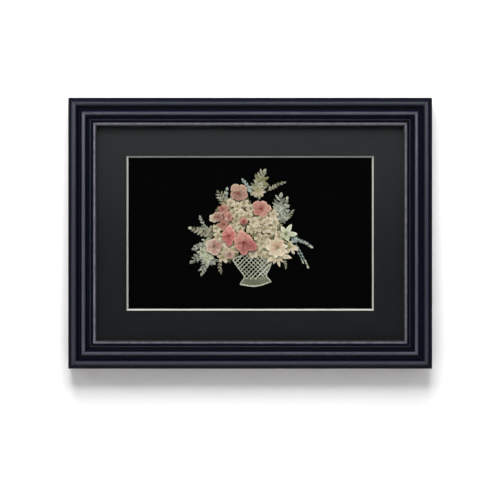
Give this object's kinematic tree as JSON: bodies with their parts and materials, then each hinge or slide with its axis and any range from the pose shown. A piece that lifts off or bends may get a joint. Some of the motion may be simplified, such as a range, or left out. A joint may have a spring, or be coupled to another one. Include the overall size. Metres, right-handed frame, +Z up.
{
  "type": "pressed flower frame",
  "caption": "Wall-hung framed picture of pressed flowers: petals, leaves and a lattice basket on black board behind a bevelled mat and glass, in a stepped dark frame.",
  "frame": {"origin": "the notch of the sawtooth hanger at its wall side, in the middle of the top rail's back, where a wall nail carries the picture", "axes": "+X to the picture's right as seen from the front, +Y towards the wall, +Z up; the picture faces -Y"},
  "size_m": [0.4, 0.0247, 0.298],
  "materials": {
    "moulding": "gloss blue-black lacquer on wood, with a pewter leaf sight edge",
    "glazing": "clear picture glass",
    "mat": "matt charcoal facing paper, off-white core on the bevel",
    "mount_board": "matt black paper facing",
    "backing": "smooth brown hardboard",
    "point_steel": "bare rolled steel",
    "hanger_zinc": "bright zinc plate",
    "basket_strip": "dry pale plant strip, matt",
    "salmon_petal": "dry pressed petal, salmon",
    "coral_petal": "dry pressed petal, coral red",
    "rose_petal": "dry pressed petal, deep rose",
    "pink_petal": "dry pressed petal, dusty pink",
    "peach_petal": "dry pressed petal, pale peach",
    "cream_petal": "dry pressed petal, ivory cream",
    "green_cream_petal": "dry pressed petal, greenish cream",
    "sage_leaf": "dry pressed leaf, sage",
    "grey_green_leaf": "dry pressed leaf, grey green with pale edges",
    "blue_green_leaf": "dry pressed sprig, blue green"
  },
  "bodies": {
    "root": {"backing_board": "backing", "basket": "basket_strip", "bud_dusty_pink": "rose_petal", "cream_head_left": "cream_petal", "cream_head_lower": "cream_petal", "cream_head_middle": "cream_petal", "cream_head_upper": "cream_petal", "floret_left_1": "pink_petal", "floret_left_2": "salmon_petal", "floret_left_3": "coral_petal", "floret_left_4": "pink_petal", "floret_left_5": "cream_petal", "flower_coral": "coral_petal", "flower_cream_side": "cream_petal", "flower_cream_star": "cream_petal", "flower_crimson": "coral_petal", "flower_dusty_pink": "pink_petal", "flower_green_star": "green_cream_petal", "flower_pale_pink": "pink_petal", "flower_peach": "peach_petal", "flower_rose": "rose_petal", "flower_salmon": "salmon_petal", "flower_white_low": "cream_petal", "framers_point_1": "point_steel", "framers_point_2": "point_steel", "framers_point_3": "point_steel", "framers_point_4": "point_steel", "framers_point_5": "point_steel", "framers_point_6": "point_steel", "framers_point_7": "point_steel", "framers_point_8": "point_steel", "glazing": "glazing", "hanger_nail_left": "hanger_zinc", "hanger_nail_right": "hanger_zinc", "leaf_cream_left": "green_cream_petal", "leaf_right": "grey_green_leaf", "leaf_right_side": "grey_green_leaf", "leaf_upper_left": "grey_green_leaf", "mat_board": "mat", "mount_board": "mount_board", "plume_top": "sage_leaf", "rail_bottom": "moulding", "rail_left": "moulding", "rail_right": "moulding", "rail_top": "moulding", "sawtooth_hanger": "hanger_zinc", "spray_left": "sage_leaf", "spray_left_tall": "grey_green_leaf", "spray_low_left_1": "grey_green_leaf", "spray_low_left_2": "grey_green_leaf", "spray_low_left_3": "grey_green_leaf", "spray_low_left_4": "sage_leaf", "spray_right_faint": "sage_leaf", "spray_top_left": "blue_green_leaf", "spray_top_right": "sage_leaf", "spray_upper_left": "sage_leaf", "sprig_right_1": "blue_green_leaf", "sprig_right_2": "blue_green_leaf", "sprig_right_3": "blue_green_leaf", "sprig_right_low": "sage_leaf"}
  },
  "joints": []
}
